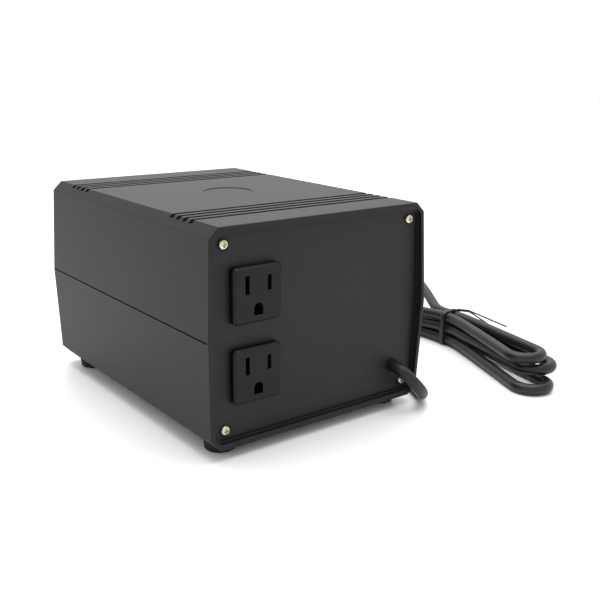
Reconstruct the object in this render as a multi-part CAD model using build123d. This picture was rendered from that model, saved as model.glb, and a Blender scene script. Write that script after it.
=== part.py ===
from build123d import *
import os
from math import atan2, cos, hypot, pi, radians, sin, sqrt, tan

# Travel voltage converter: a two-part moulded housing round a step-down transformer, with two
# three-pin outlets and the mains lead on one end panel, and the switch, breaker and lamp on the other.
# The origin is on the floor under the middle of the housing. The outlets face -Y.

# Housing, with its width and depth measured at the parting line
width = 140.0
depth = 182.0
# Routes of the lead and the wires are drawn for a case of this size, and move with its sides
drawn_width = 140.0
drawn_depth = 182.0
body_height = 110.0
lower_height = 55.8
side_draft_top = 2.1
side_draft_bottom = 1.6
end_draft_top = 1.9
end_draft_bottom = 1.8
top_chamfer_width = 5.2
top_chamfer_height = 5.1
bottom_chamfer_width = 5.9
bottom_chamfer_height = 6.0
edge_radius = 0.7
wall = 2.4
top_wall = 3.6
floor_wall = 3.4
seam_height = 0.8
seam_depth = 0.9
seam_end_land = 1.6
lip_thickness = 1.1
lip_height = 2.6
lip_root = 4.0

# Two sets of grooves across the top, and the plain round place between them
groove_count = 4
groove_width = 2.9
groove_pitch = 6.03
groove_depth = 1.8
groove_first_y = 48.9
top_disc_radius = 14.0
top_disc_depth = 0.35

# End panels, each held between a ledge in front and a rib behind
panel_thickness = 2.4
panel_recess = 4.7
ledge_width = 1.3
ledge_thickness = 1.2
ledge_corner_radius = 3.0
rear_rib_width = 2.4
rear_rib_thickness = 1.6
slot_play = 0.2

# Panel screws, pan heads in shallow counterbores
panel_screw_side = 11.1
panel_screw_top_z = 101.2
panel_screw_bottom_z = 9.3
screw_head_radius = 2.5
screw_head_height = 2.0
screw_shank_radius = 1.5
panel_screw_length = 11.0
counterbore_radius = 3.4
counterbore_depth = 0.5
boss_radius = 4.0
boss_length = 14.0
web_thickness = 2.2

# Shell screws, up through the lower shell into posts on the upper shell
post_side = 14.0
post_end = 44.0
post_radius = 4.6
shell_screw_length = 36.0
shell_screw_radius = 1.8
shell_screw_head_radius = 3.3
shell_screw_head_height = 2.4
shell_screw_grip = 16.0
shell_bore_radius = 4.0
shell_bore_wall = 2.0

# Feet
foot_height = 5.5
foot_radius = 8.6
foot_bottom_radius = 7.9
foot_edge = 1.3
foot_seat_depth = 0.6
foot_side = 16.0
foot_end = 17.0
foot_recess_radius = 3.6
foot_recess_depth = 3.0
foot_screw_length = 6.6
foot_pad_radius = 5.5
foot_pad_height = 4.6

# Vents in the floor
vent_count = 7
vent_pitch = 9.0
vent_width = 3.0
vent_length = 26.0
vent_row_x = 30.0

# Outlets: slot spacings of the standard three-pin pattern
outlet_side = 28.1
outlet_upper_z = 81.1
outlet_lower_z = 41.1
slot_spacing = 12.7
ground_drop = 11.9
line_slot_width = 2.2
line_slot_height = 7.4
neutral_slot_width = 2.4
neutral_slot_height = 9.0
ground_hole_width = 5.3
ground_hole_height = 6.0
face_width = 25.5
face_height = 25.7
face_drop = 5.1
face_corner_radius = 0.9
bevel_inset = 1.0
flange_corner_radius = 2.0
flange_thickness = 4.4
flange_side = 3.2
outlet_body_width = 24.6
outlet_body_height = 25.0
outlet_body_depth = 21.0
outlet_body_corner = 1.2
outlet_front_wall = 2.6
outlet_fit = 0.2
outlet_cover_thickness = 2.6
latch_rise = 1.3
latch_width = 9.0
latch_length = 6.0
contact_stock = 0.7
contact_length = 11.0
blade_gap = 1.3
blade_contact_height = 7.0
pin_gap = 4.9
contact_flare = 0.5
chamber_play = 0.3
tab_width = 6.3
tab_length = 8.0
tab_stock = 0.8

# Lead: entry in the outlet panel, bushing and the clamp behind it
cord_diameter = 6.8
cord_side = 19.0
cord_z = 19.6
bushing_wall = 0.9
bushing_collar = 1.6
bushing_length = 7.0
bushing_play = 0.1
cord_inside = 24.0
clamp_length = 8.0
clamp_thickness = 2.0
clamp_ear = 8.0
clamp_post_radius = 3.4
clamp_setback = 8.0
small_screw_radius = 1.3
small_screw_length = 8.0
small_head_radius = 2.4
small_head_height = 1.6

# Lead's route from the panel to the hank, in millimetres from the origin
lead_route = [
    (51.0, -86.3, 25.1), (51.0, -91.5, 25.1), (52.5, -97.0, 22.0), (57.0, -100.0, 16.5),
    (63.0, -99.0, 10.5), (69.5, -94.0, 5.8), (76.0, -85.0, 3.4), (81.5, -70.0, 3.4),
    (84.0, -52.0, 3.4), (84.5, -20.0, 3.4), (87.5, 10.0, 3.4), (98.5, 37.0, 3.4),
    (121.0, 48.0, 3.4), (140.5, 38.5, 3.4), (150.5, 22.0, 3.4), (156.0, 8.0, 3.9),
    (158.55, -2.5, 4.65), (158.55, -18.0, 4.65),
]

# Hank: three loops one on another, drawn in at the tie. Near the tie all strands run straight.
hank_x = 162.3
tie_y = -28.0
waist_half_length = 10.0
strand_gap = 0.7
waist_lift = 1.25
near_turns = [(142.0, -118.0, 14.8), (151.0, -107.0, 15.2), (144.0, -104.0, 14.6)]
far_turns = [(170.0, 74.0, 17.5), (172.0, 80.0, 16.5)]

# Tie round the hank: a flat coated wire, its ends twisted together
tie_thickness = 0.8
tie_width = 3.0
tie_play = 0.35
tie_twist_radius = 1.1
tie_twist_length = 10.0
tie_twist_way = (0.1, -0.9, 0.35)
tie_end_radius = 0.6
tie_end_length = 20.0
tie_end_ways = [(0.15, -0.96, -0.15), (0.35, -0.93, 0.0)]

# Lead's end, from the top of the hank to the plug
tail_route = [
    (166.05, -20.0, 19.65), (166.05, -13.0, 19.65), (171.8, -3.0, 21.0), (182.0, 15.0, 25.0),
    (195.0, 37.0, 27.0), (205.5, 59.0, 23.0), (212.0, 80.0, 17.2), (216.0, 96.0, 17.2),
]

# Earthed two-pin plug for round 4.8 mm pins
plug_radius = 19.6
plug_flat = 17.2
plug_face_depth = 17.0
plug_shoulder = 14.0
plug_grip_radius = 12.5
plug_grip_length = 24.0
relief_radius = 6.2
relief_tip_radius = 4.7
relief_length = 24.0
plug_edge = 1.2
pin_radius = 2.4
pin_length = 19.0
pin_spacing = 19.0
pin_root = 6.0
pin_root_radius = 2.0
pin_neck = 0.3
pin_tip = 0.8
earth_hole_radius = 2.55
earth_hole_depth = 13.0
earth_hole_offset = 10.0
earth_clip_width = 6.0
earth_clip_stock = 1.0
earth_clip_length = 12.0

# Transformer: E and I laminations, 96 mm size, on one bobbin
core_side = 22.0
core_leg = 16.0
core_window = 48.0
core_window_width = 16.0
core_end = 68.0
core_lift = 5.0
core_hole_radius = 2.8
bobbin_play = 0.5
bobbin_wall = 1.5
bobbin_flange = 1.5
bobbin_overhang = 15.4
winding_end_play = 0.3
common_build = 5.4
interlayer_build = 0.5
series_build = 5.4
wrap_build = 0.7
bracket_stock = 1.6
bracket_foot = 17.0
bracket_rise = 15.0
bolt_radius = 2.5
bolt_head_radius = 4.4
bolt_head_height = 3.5
nut_height = 4.0
bolt_overhang = 2.0
mount_screw_inset = 12.0
mount_post_radius = 5.0
cutout_width = 8.0
cutout_height = 16.0
cutout_depth = 4.5
ring_corner = 1.5

# Switch panel: rocker switch, push-to-reset breaker and lamp
control_z = 70.0
switch_side = 32.0
switch_flange_width = 25.0
switch_flange_height = 31.0
switch_flange_thickness = 1.5
switch_body_width = 21.6
switch_body_height = 28.0
switch_body_depth = 19.0
switch_well_depth = 10.0
switch_wall = 1.5
rocker_side_play = 0.3
rocker_pivot_depth = 3.0
rocker_half_height = 11.4
rocker_end_rise = 5.2
rocker_middle_rise = 3.4
rocker_root = 4.0
rocker_root_half_height = 6.5
rocker_throw = 20.0
rocker_pin_radius = 1.4
rocker_pin_length = 1.0
running_clearance = 0.06
breaker_x = 0.0
breaker_width = 17.0
breaker_height = 33.0
breaker_depth = 20.0
breaker_neck_radius = 5.4
breaker_nut_radius = 8.2
breaker_nut_height = 2.4
breaker_neck_rise = 3.0
button_radius = 3.2
button_rise = 1.2
button_stem_length = 12.0
button_travel = 3.0
lamp_side = 36.0
lamp_radius = 4.2
lamp_flange_radius = 5.8
lamp_flange_thickness = 1.2
lamp_dome_rise = 2.6
lamp_body_length = 18.0
lens_wall = 0.9
switch_tab_x = 5.5
switch_tab_z = 7.0
breaker_tab_z = 10.0
tab_root = 3.0
rocker_skirt = 1.0

# Terminal block and wiring
block_x = 14.0
block_end_clearance = 30.0
block_poles = 3
block_pole_pitch = 11.0
block_width = 17.0
block_height = 15.0
block_end = 5.0
block_post_radius = 4.0
block_post_height = 4.0
block_bore_radius = 2.2
block_screw_radius = 1.7
block_ear = 4.0
sleeve_radius = 3.2
sleeve_length = 13.0
terminal_screw_sink = 1.0
terminal_slot_depth = 0.8
wire_radius = 1.25
crimp_wall = 0.8
crimp_neck = 5.0
lug_length = 14.0
lug_barrel = 6.0
lug_barrel_thickness = 3.0
lug_wire_z = 68.0

fit_gap = 0.1
soft_gap = 0.3
winding_gap = 0.1
cut_over = 1.0

# Shares of a screw's own sizes, and of a run for the arc at its end
head_round_share = 0.55
recess_length_share = 1.15
recess_width_share = 0.42
recess_depth_share = 0.6
tip_share = 0.5
grip_start_share = 0.8
run_share = 0.45
parallel_limit = 1e-9
hexagon_sides = 6
turn_lean_share = 1.15

# Wiring by colour: the pieces at each wire's two ends, and its route between them
wire_routes = {
    "wires_brown": [
        ("cord", "switch", [
            (52.34, -62.3, 24.33), (52.34, -58.0, 24.33), (48.3, -51.0, 25.5), (46.5, -42.0, 27.5),
            (50.0, -31.0, 30.0), (55.5, -22.0, 34.0), (57.0, 0.0, 42.0), (55.5, 20.0, 52.0),
            (50.0, 31.0, 60.0), (45.0, 38.0, 66.0), (43.5, 46.0, 68.5), (43.5, 54.3, 68.5),
        ]),
        ("switch", "breaker", [
            (43.5, 54.3, 82.5), (43.5, 48.0, 82.5), (37.0, 44.0, 93.0), (18.0, 43.0, 98.0),
            (2.0, 43.0, 96.0), (0.0, 44.5, 87.1), (0.0, 50.9, 87.1),
        ]),
        ("breaker", "block", [
            (0.0, 50.9, 65.5), (0.0, 45.5, 65.5), (10.0, 46.0, 56.0), (20.0, 58.0, 48.0),
            (24.0, 74.0, 38.0), (25.0, 78.0, 20.4), (25.0, 65.0, 20.4),
        ]),
    ],
    "wires_blue": [
        ("cord", "switch", [
            (49.66, -62.3, 24.33), (49.66, -59.0, 24.33), (44.5, -52.0, 22.5), (42.5, -42.0, 23.0),
            (47.0, -31.0, 25.5), (52.5, -22.0, 29.0), (53.5, 0.0, 37.0), (52.5, 20.0, 47.0),
            (46.0, 31.0, 55.0), (38.0, 38.0, 62.0), (32.5, 46.0, 68.5), (32.5, 54.3, 68.5),
        ]),
        ("block", "outlet", [
            (14.0, 57.0, 20.4), (14.0, 48.5, 20.4), (9.0, 44.0, 25.0), (-10.0, 42.5, 29.0),
            (-38.0, 41.5, 37.0), (-48.0, 36.0, 41.0), (-56.0, 22.0, 43.0), (-58.0, 0.0, 44.5),
            (-56.5, -22.0, 46.0), (-50.5, -33.0, 46.0), (-48.25, -40.5, 45.0), (-48.25, -49.7, 45.0),
        ]),
        ("outlet", "outlet", [
            (-48.25, -49.7, 48.2), (-48.25, -44.5, 48.2), (-48.25, -44.5, 86.6), (-48.25, -49.7, 86.6),
        ]),
        ("switch", "block", [
            (32.5, 54.3, 79.85), (32.5, 49.0, 79.85), (25.0, 47.0, 72.0), (18.5, 53.0, 62.0),
            (18.0, 66.0, 50.0), (15.0, 76.0, 36.0), (14.0, 77.5, 20.4), (14.0, 65.0, 20.4),
        ]),
    ],
    "wires_green": [
        ("cord", "lug", [
            (51.0, -62.3, 26.65), (51.0, -58.0, 26.65), (49.0, -52.0, 31.0), (46.0, -45.0, 39.0),
            (43.5, -36.0, 48.0), (41.8, -27.0, 56.0), (41.65, -24.5, 62.0), (41.65, -24.5, 68.0),
        ]),
        ("lug", "outlet", [
            (38.35, -24.5, 68.0), (38.35, -24.5, 62.0), (36.0, -31.0, 56.0), (28.0, -42.0, 55.0),
            (5.0, -44.0, 58.0), (-20.0, -43.0, 64.0), (-33.0, -41.0, 71.0), (-41.9, -40.5, 76.3),
            (-41.9, -49.7, 76.3),
        ]),
        ("outlet", "outlet", [
            (-41.9, -49.7, 73.1), (-41.9, -44.0, 73.1), (-41.9, -44.0, 34.7), (-41.9, -49.7, 34.7),
        ]),
    ],
    "wires_red": [
        ("block", "outlet", [
            (3.0, 57.0, 20.4), (3.0, 49.0, 20.4), (-8.0, 46.0, 22.0), (-38.0, 44.0, 30.0),
            (-48.0, 38.0, 34.0), (-54.5, 22.0, 36.0), (-55.0, 0.0, 38.0), (-54.5, -22.0, 40.0),
            (-49.0, -32.0, 42.0), (-40.0, -40.0, 45.0), (-35.55, -41.0, 45.0), (-35.55, -49.7, 45.0),
        ]),
        ("outlet", "outlet", [
            (-35.55, -49.7, 48.2), (-35.55, -44.5, 48.2), (-35.55, -44.5, 86.6), (-35.55, -49.7, 86.6),
        ]),
    ],
    "winding_leads": [
        ("coil_right", "switch", [
            (28.0, 37.5, 72.0), (28.0, 42.0, 72.0), (33.0, 44.0, 76.5), (32.5, 47.5, 82.5),
            (32.5, 54.3, 82.5),
        ]),
        ("coil_right", "block", [
            (25.0, 37.5, 40.0), (25.0, 43.5, 40.0), (25.0, 46.0, 28.0), (25.0, 48.5, 20.4),
            (25.0, 57.0, 20.4),
        ]),
        ("coil_left", "block", [
            (-20.0, 37.5, 45.0), (-20.0, 43.5, 45.0), (-16.0, 52.0, 35.0), (-14.0, 66.0, 25.0),
            (-9.0, 77.0, 20.4), (3.0, 79.0, 20.4), (3.0, 65.0, 20.4),
        ]),
    ],
    "lamp_leads": [
        ("lamp", "breaker", [
            (-34.0, 68.3, 77.0), (-34.0, 60.0, 77.0), (-25.0, 49.0, 79.0), (-10.0, 44.0, 83.9),
            (0.0, 44.0, 83.9), (0.0, 50.9, 83.9),
        ]),
        ("lamp", "switch", [
            (-34.0, 68.3, 74.0), (-34.0, 59.0, 74.0), (-25.0, 48.0, 72.0), (-2.0, 44.0, 75.0),
            (26.0, 43.5, 84.0), (32.5, 46.0, 85.15), (32.5, 54.3, 85.15),
        ]),
    ],
}

base_z = foot_height
parting_z = base_z + lower_height
top_z = base_z + body_height
inner_floor_z = base_z + floor_wall
inner_top_z = top_z - top_wall
half_width = width / 2
half_depth = depth / 2
side_shift = half_width - drawn_width / 2
end_shift = half_depth - drawn_depth / 2
panel_screw_x = half_width - panel_screw_side
post_x, post_y = half_width - post_side, half_depth - post_end
foot_x, foot_y = half_width - foot_side, half_depth - foot_end
outlet_x = half_width - outlet_side
cord_x = half_width - cord_side
switch_x = half_width - switch_side
lamp_x = half_width - lamp_side
block_y = half_depth - block_end_clearance
core_width = (half_width - core_side) * 2
core_stack = (half_depth - core_end) * 2
core_middle = core_width / 2 - core_leg - core_window_width
mount_screw_x = core_width / 2 - mount_screw_inset
panel_front_y = half_depth - panel_recess
panel_back_y = panel_front_y - panel_thickness
cord_radius = cord_diameter / 2
X_DIR, Y_DIR, Z_DIR = (1, 0, 0), (0, 1, 0), (0, 0, 1)


def block(x_range, y_range, z_range):
    (x0, x1), (y0, y1), (z0, z1) = (sorted(r) for r in (x_range, y_range, z_range))
    centre = ((x0 + x1) / 2, (y0 + y1) / 2, (z0 + z1) / 2)
    return Pos(*centre) * Box(x1 - x0, y1 - y0, z1 - z0)


def rod(start, direction, radius, length):
    base = Plane(origin=start, z_dir=direction)
    return base * Cylinder(radius, length, align=(Align.CENTER, Align.CENTER, Align.MIN))


def cone(start, direction, radius, end_radius, length):
    base = Plane(origin=start, z_dir=direction)
    return base * Cone(radius, end_radius, length, align=(Align.CENTER, Align.CENTER, Align.MIN))


def filled(outline):
    return make_face(Polyline(*outline, close=True))


# The sketch holds x and z, and is carried along Y
def along_y(sketch, y_range):
    y0, y1 = sorted(y_range)
    return extrude(Plane.XZ.offset(-y0) * sketch, amount=y1 - y0, dir=Y_DIR)


# The sketch holds y and z, and is carried along X
def along_x(sketch, x_range):
    x0, x1 = sorted(x_range)
    return extrude(Plane.YZ.offset(x0) * sketch, amount=x1 - x0, dir=X_DIR)


# The sketch holds x and y, and is carried along Z
def along_z(sketch, z_range):
    z0, z1 = sorted(z_range)
    return extrude(Plane.XY.offset(z0) * sketch, amount=z1 - z0, dir=Z_DIR)


# Each side of a closed outline, drawn anticlockwise, moves inwards by its own inset
def inset_outline(outline, insets):
    moved = []
    for (x0, z0), (x1, z1), inset in zip(outline, outline[1:] + outline[:1], insets):
        run = hypot(x1 - x0, z1 - z0)
        dx, dz = (x1 - x0) / run, (z1 - z0) / run
        moved.append((x0 - dz * inset, z0 + dx * inset, dx, dz))
    corners = []
    for (ax, az, adx, adz), (bx, bz, bdx, bdz) in zip(moved[-1:] + moved[:-1], moved):
        along = ((bx - ax) * bdz - (bz - az) * bdx) / (adx * bdz - adz * bdx)
        corners.append((ax + along * adx, az + along * adz))
    return corners


def mirrored(right_side):
    return right_side + [(-x, z) for x, z in reversed(right_side)]


def housing_outline():
    bottom_half, top_half = half_width - side_draft_bottom, half_width - side_draft_top
    return mirrored([
        (bottom_half - bottom_chamfer_width, base_z),
        (bottom_half, base_z + bottom_chamfer_height),
        (half_width, parting_z),
        (top_half, top_z - top_chamfer_height),
        (top_half - top_chamfer_width, top_z),
    ])


# The cavity inside the walls, or a smaller outline inside it
def cavity_outline(extra=0.0):
    side = wall + extra
    insets = [side] * 4 + [top_wall + extra] + [side] * 4 + [floor_wall + extra]
    return inset_outline(housing_outline(), insets)


def end_outline():
    bottom_half, top_half = half_depth - end_draft_bottom, half_depth - end_draft_top
    return mirrored([(bottom_half, base_z), (half_depth, parting_z), (top_half, top_z)])


# One half of the housing as a solid block, its edges eased except along the parting line
def housing_blank(upper):
    blank = along_y(filled(housing_outline()), (-half_depth, half_depth))
    blank &= along_x(filled(end_outline()), (-half_width, half_width))
    z_range = (parting_z, top_z + cut_over) if upper else (0, parting_z)
    blank &= block((-width, width), (-depth, depth), z_range)
    eased = [e for e in blank.edges() if abs(e.center().Z - parting_z) > edge_radius]
    return fillet(eased, edge_radius)


def wall_x(z):
    share = (z - parting_z) / (top_z - top_chamfer_height - parting_z)
    low_share = (parting_z - z) / (lower_height - bottom_chamfer_height)
    draft = side_draft_top * share if z > parting_z else side_draft_bottom * low_share
    return half_width - wall - draft


# Ledge in front of an end panel and rib behind it, both ends
def panel_slots():
    rings = []
    cavity = filled(cavity_outline(-fit_gap))
    for side in (-1, 1):
        front = (side * panel_front_y, side * (panel_front_y + ledge_thickness))
        opening = filled(cavity_outline(ledge_width))
        opening = fillet(opening.vertices(), ledge_corner_radius)
        rings.append(along_y(cavity - opening, front))
        rib_y = panel_back_y - slot_play
        rear = (side * rib_y, side * (rib_y - rear_rib_thickness))
        rings.append(along_y(cavity - filled(cavity_outline(rear_rib_width)), rear))
    return rings


def panel_screw_places(side, z_values):
    return [(x, side * panel_front_y, base_z + z) for z in z_values for x in (-panel_screw_x, panel_screw_x)]


# Bosses that take the panel screws, with a web to the side wall
def panel_bosses(z_value):
    bosses = []
    holes = []
    for side in (-1, 1):
        start = side * (panel_back_y - slot_play)
        for x, _, z in panel_screw_places(side, [z_value]):
            out = 1 if x > 0 else -1
            bosses.append(rod((x, start, z), (0, -side, 0), boss_radius, boss_length))
            web_x = (x, out * (wall_x(z) + wall / 2))
            web_z = (z - web_thickness / 2, z + web_thickness / 2)
            bosses.append(block(web_x, (start, start - side * boss_length), web_z))
            hole_radius = screw_shank_radius + fit_gap / 2
            holes.append(rod((x, start + side * cut_over, z), (0, -side, 0), hole_radius,
                             boss_length - wall))
    return bosses, holes


def corner_places(x, y):
    return [(sx * x, sy * y) for sx in (-1, 1) for sy in (-1, 1)]


def upper_shell():
    inside = housing_blank(True)
    shell = inside - along_y(filled(cavity_outline()), (-depth, depth))
    additions = panel_slots()
    bosses, holes = panel_bosses(panel_screw_top_z)
    additions += bosses
    for x, y in corner_places(post_x, post_y):
        additions.append(rod((x, y, parting_z), Z_DIR, post_radius, inner_top_z - parting_z + fit_gap))
        web_y = (y - web_thickness / 2, y + web_thickness / 2)
        out = 1 if x > 0 else -1
        post_web = block((x, out * half_width), web_y, (parting_z + lip_height + wall, inner_top_z + fit_gap))
        additions.append(post_web)
        hole_radius = shell_screw_radius + fit_gap / 2
        holes.append(rod((x, y, parting_z - cut_over), Z_DIR, hole_radius,
                         shell_screw_grip + wall + cut_over))
    for piece in additions:
        shell += piece & inside
    for hole in holes:
        shell -= hole
    for side in (-1, 1):
        for i in range(groove_count):
            y = side * (groove_first_y + i * groove_pitch)
            groove_y = (y - groove_width / 2, y + groove_width / 2)
            shell -= block((-width, width), groove_y, (top_z - groove_depth, top_z + cut_over))
        seam_x = (side * (half_width - seam_depth), side * width)
        seam_y = half_depth - seam_end_land
        shell -= block(seam_x, (-seam_y, seam_y), (parting_z - cut_over, parting_z + seam_height))
    shell -= rod((0, 0, top_z - top_disc_depth), Z_DIR, top_disc_radius, top_disc_depth + cut_over)
    return shell


def lower_shell():
    inside = housing_blank(False)
    shell = inside - along_y(filled(cavity_outline()), (-depth, depth))
    additions = panel_slots()
    bosses, holes = panel_bosses(panel_screw_bottom_z)
    additions += bosses
    for x, y in corner_places(post_x, post_y):
        additions.append(rod((x, y, base_z), Z_DIR, shell_bore_radius + shell_bore_wall, lower_height))
        seat = shell_screw_seat_z()
        holes.append(rod((x, y, base_z - cut_over), Z_DIR, shell_bore_radius, seat - base_z + cut_over))
        holes.append(rod((x, y, base_z), Z_DIR, shell_screw_radius + fit_gap, lower_height + cut_over))
    for x, y in corner_places(foot_x, foot_y):
        additions.append(rod((x, y, inner_floor_z - fit_gap), Z_DIR, foot_pad_radius, foot_pad_height))
        holes.append(rod((x, y, base_z - cut_over), Z_DIR, foot_radius + fit_gap, foot_seat_depth + cut_over))
        holes.append(rod((x, y, base_z), Z_DIR, small_screw_radius + fit_gap / 2,
                         foot_screw_length + floor_wall))
    for x, y in corner_places(mount_screw_x, mount_screw_y()):
        additions.append(rod((x, y, inner_floor_z - fit_gap), Z_DIR, mount_post_radius, core_lift + fit_gap))
        holes.append(rod((x, y, inner_floor_z - fit_gap), Z_DIR, small_screw_radius + fit_gap / 2,
                         core_lift + cut_over))
    for x, y in block_post_places():
        additions.append(rod((x, y, inner_floor_z - fit_gap), Z_DIR, block_post_radius,
                             block_post_height + fit_gap))
        holes.append(rod((x, y, inner_floor_z), Z_DIR, small_screw_radius + fit_gap / 2,
                         block_post_height + cut_over))
    for x, y in clamp_post_places():
        additions.append(rod((x, y, inner_floor_z - fit_gap), Z_DIR, clamp_post_radius,
                             clamp_seat_z() - inner_floor_z + fit_gap))
        holes.append(rod((x, y, inner_floor_z), Z_DIR, small_screw_radius + fit_gap / 2,
                         clamp_seat_z() - inner_floor_z + cut_over))
    for piece in additions:
        shell += piece & inside
    for side in (-1, 1):
        lip_out = side * (wall_x(parting_z) - slot_play)
        lip_in = side * (wall_x(parting_z) - slot_play - lip_thickness)
        lip_y = post_y - post_radius - wall
        root_x = (lip_in, side * (half_width - wall / 2))
        shell += block((lip_in, lip_out), (-lip_y, lip_y), (parting_z - lip_root, parting_z + lip_height))
        shell += block(root_x, (-lip_y, lip_y), (parting_z - lip_root, parting_z))
    for hole in holes:
        shell -= hole
    for side in (-1, 1):
        for i in range(vent_count):
            y = (i - (vent_count - 1) / 2) * vent_pitch
            vent = SlotOverall(vent_length, vent_width)
            shell -= along_z(Pos(side * vent_row_x, y) * vent, (base_z - cut_over, inner_floor_z + cut_over))
    return shell


def shell_screw_seat_z():
    return parting_z + shell_screw_grip - shell_screw_length


# Pan-head screw with a cross recess; its head stands on the seat and points out along the direction
def screw(seat, out, shank_radius, shank_length, head_radius, head_height):
    frame = Plane(origin=seat, z_dir=out)
    head = Cylinder(head_radius, head_height, align=(Align.CENTER, Align.CENTER, Align.MIN))
    head = fillet(head.edges().group_by(Axis.Z)[-1], head_height * head_round_share)
    slot_length, slot_width = head_radius * recess_length_share, head_radius * recess_width_share
    slot_depth = head_height * recess_depth_share
    for length, breadth in ((slot_length, slot_width), (slot_width, slot_length)):
        head -= Pos(0, 0, head_height) * Box(length, breadth, slot_depth * 2)
    shank = Cylinder(shank_radius, shank_length, align=(Align.CENTER, Align.CENTER, Align.MAX))
    shank = chamfer(shank.edges().group_by(Axis.Z)[0], shank_radius * tip_share)
    return frame * (head + shank)


def panel_screws(side):
    seat_y = side * (panel_front_y - counterbore_depth)
    return [
        screw((x, seat_y, z), (0, side, 0), screw_shank_radius, panel_screw_length, screw_head_radius,
              screw_head_height)
        for x, _, z in panel_screw_places(side, [panel_screw_bottom_z, panel_screw_top_z])
    ]


def panel_blank(side):
    panel = along_y(filled(cavity_outline(fit_gap)), (side * panel_front_y, side * panel_back_y))
    for x, y, z in panel_screw_places(side, [panel_screw_bottom_z, panel_screw_top_z]):
        panel -= rod((x, y + side * cut_over, z), (0, -side, 0), counterbore_radius, counterbore_depth + cut_over)
        panel -= rod((x, y + side * cut_over, z), (0, -side, 0), screw_shank_radius + fit_gap,
                     panel_thickness + cut_over * 2)
    return panel


def rounded(sketch_width, sketch_height, radius):
    return RectangleRounded(sketch_width, sketch_height, radius)


def outlet_slot_centres():
    return [base_z + outlet_upper_z, base_z + outlet_lower_z]


def outlet_panel():
    panel = panel_blank(-1)
    y_range = (-panel_front_y - cut_over, -panel_back_y + cut_over)
    for slot_z in outlet_slot_centres():
        cut = rounded(outlet_body_width + outlet_fit * 2, outlet_body_height + outlet_fit * 2, outlet_body_corner)
        panel -= along_y(Pos(-outlet_x, slot_z - face_drop) * cut, y_range)
    hole_radius = cord_radius + bushing_wall + bushing_play
    panel -= rod((cord_x, y_range[0], base_z + cord_z), Y_DIR, hole_radius, panel_thickness + cut_over * 2)
    return panel


def switch_panel():
    panel = panel_blank(1)
    z = base_z + control_z
    y_range = (panel_back_y - cut_over, panel_front_y + cut_over)
    opening = Rectangle(switch_body_width + fit_gap * 2, switch_body_height + fit_gap * 2)
    panel -= along_y(Pos(switch_x, z) * opening, y_range)
    for x, radius in ((breaker_x, breaker_neck_radius), (-lamp_x, lamp_radius)):
        panel -= rod((x, y_range[0], z), Y_DIR, radius + fit_gap, panel_thickness + cut_over * 2)
    return panel


# Slots and ground hole of an outlet, as sketches in x and z about the middle of its slots
def outlet_holes():
    line = Pos(slot_spacing / 2, 0) * Rectangle(line_slot_width, line_slot_height)
    neutral = Pos(-slot_spacing / 2, 0) * Rectangle(neutral_slot_width, neutral_slot_height)
    arch_radius = ground_hole_width / 2
    ground = Pos(0, -ground_drop) * Circle(arch_radius)
    flat_bottom = ground_hole_height - arch_radius
    ground += Pos(0, -ground_drop - flat_bottom / 2) * Rectangle(ground_hole_width, flat_bottom)
    return line + neutral + ground


def contact_places():
    return [
        ("line_contact", slot_spacing / 2, 0.0, blade_gap),
        ("neutral_contact", -slot_spacing / 2, 0.0, blade_gap),
        ("ground_contact", 0.0, -ground_drop, pin_gap),
    ]


# Spring contact seen from above: two leaves with flared mouths, a web behind and a tab for the wire
def contact(x, z, gap, front_y):
    inner, outer = gap / 2, gap / 2 + contact_stock
    web_y, back_y = contact_length - contact_stock, contact_length
    outline = [
        (outer, back_y), (outer, contact_stock * 2), (outer + contact_flare, 0.0),
        (outer + contact_flare - contact_stock, 0.0), (inner, contact_stock * 2), (inner, web_y),
    ]
    outline += [(-px, py) for px, py in reversed(outline)]
    leaves = along_z(Pos(x, front_y) * filled(outline), (z - blade_contact_height / 2, z + blade_contact_height / 2))
    tab_y = (front_y + web_y, front_y + back_y + contact_gap() + outlet_cover_thickness + tab_length)
    tab = block((x - tab_stock / 2, x + tab_stock / 2), tab_y, (z - tab_width / 2, z + tab_width / 2))
    return leaves + tab


def contact_gap():
    return outlet_body_depth - outlet_front_wall - contact_length - chamber_play


def outlet_body(slot_z):
    centre = Pos(-outlet_x, slot_z - face_drop)
    flange_width, flange_height = face_width + bevel_inset * 2, face_height + bevel_inset * 2
    side_y = -panel_front_y - flange_side
    face_y = -panel_front_y - flange_thickness
    body = along_y(centre * rounded(flange_width, flange_height, flange_corner_radius), (-panel_front_y, side_y))
    base = Plane.XZ.offset(-side_y) * (centre * rounded(flange_width, flange_height, flange_corner_radius))
    face = Plane.XZ.offset(-face_y) * (centre * rounded(face_width, face_height, face_corner_radius))
    body += loft([base.face(), face.face()], ruled=True)
    rear_y = -panel_front_y + outlet_body_depth
    body += along_y(centre * rounded(outlet_body_width, outlet_body_height, outlet_body_corner),
                    (-panel_front_y, rear_y))
    latch_y = -panel_back_y + fit_gap
    for side in (-1, 1):
        root_z = slot_z - face_drop + side * (outlet_body_height / 2 - outlet_body_corner)
        tip_z = slot_z - face_drop + side * (outlet_body_height / 2 + latch_rise)
        wedge = filled([(latch_y, root_z), (latch_y, tip_z), (latch_y + latch_length, root_z)])
        body += along_x(wedge, (-outlet_x - latch_width / 2, -outlet_x + latch_width / 2))
    holes = Pos(-outlet_x, slot_z) * outlet_holes()
    chamber_y = -panel_front_y + outlet_front_wall
    body -= along_y(holes, (face_y - cut_over, chamber_y + cut_over))
    for _, x, z, gap in contact_places():
        half = gap / 2 + contact_stock + contact_flare + chamber_play
        half_height = blade_contact_height / 2 + chamber_play
        x, z = x - outlet_x, z + slot_z
        body -= block((x - half, x + half), (chamber_y, rear_y + cut_over), (z - half_height, z + half_height))
    return body


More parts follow.
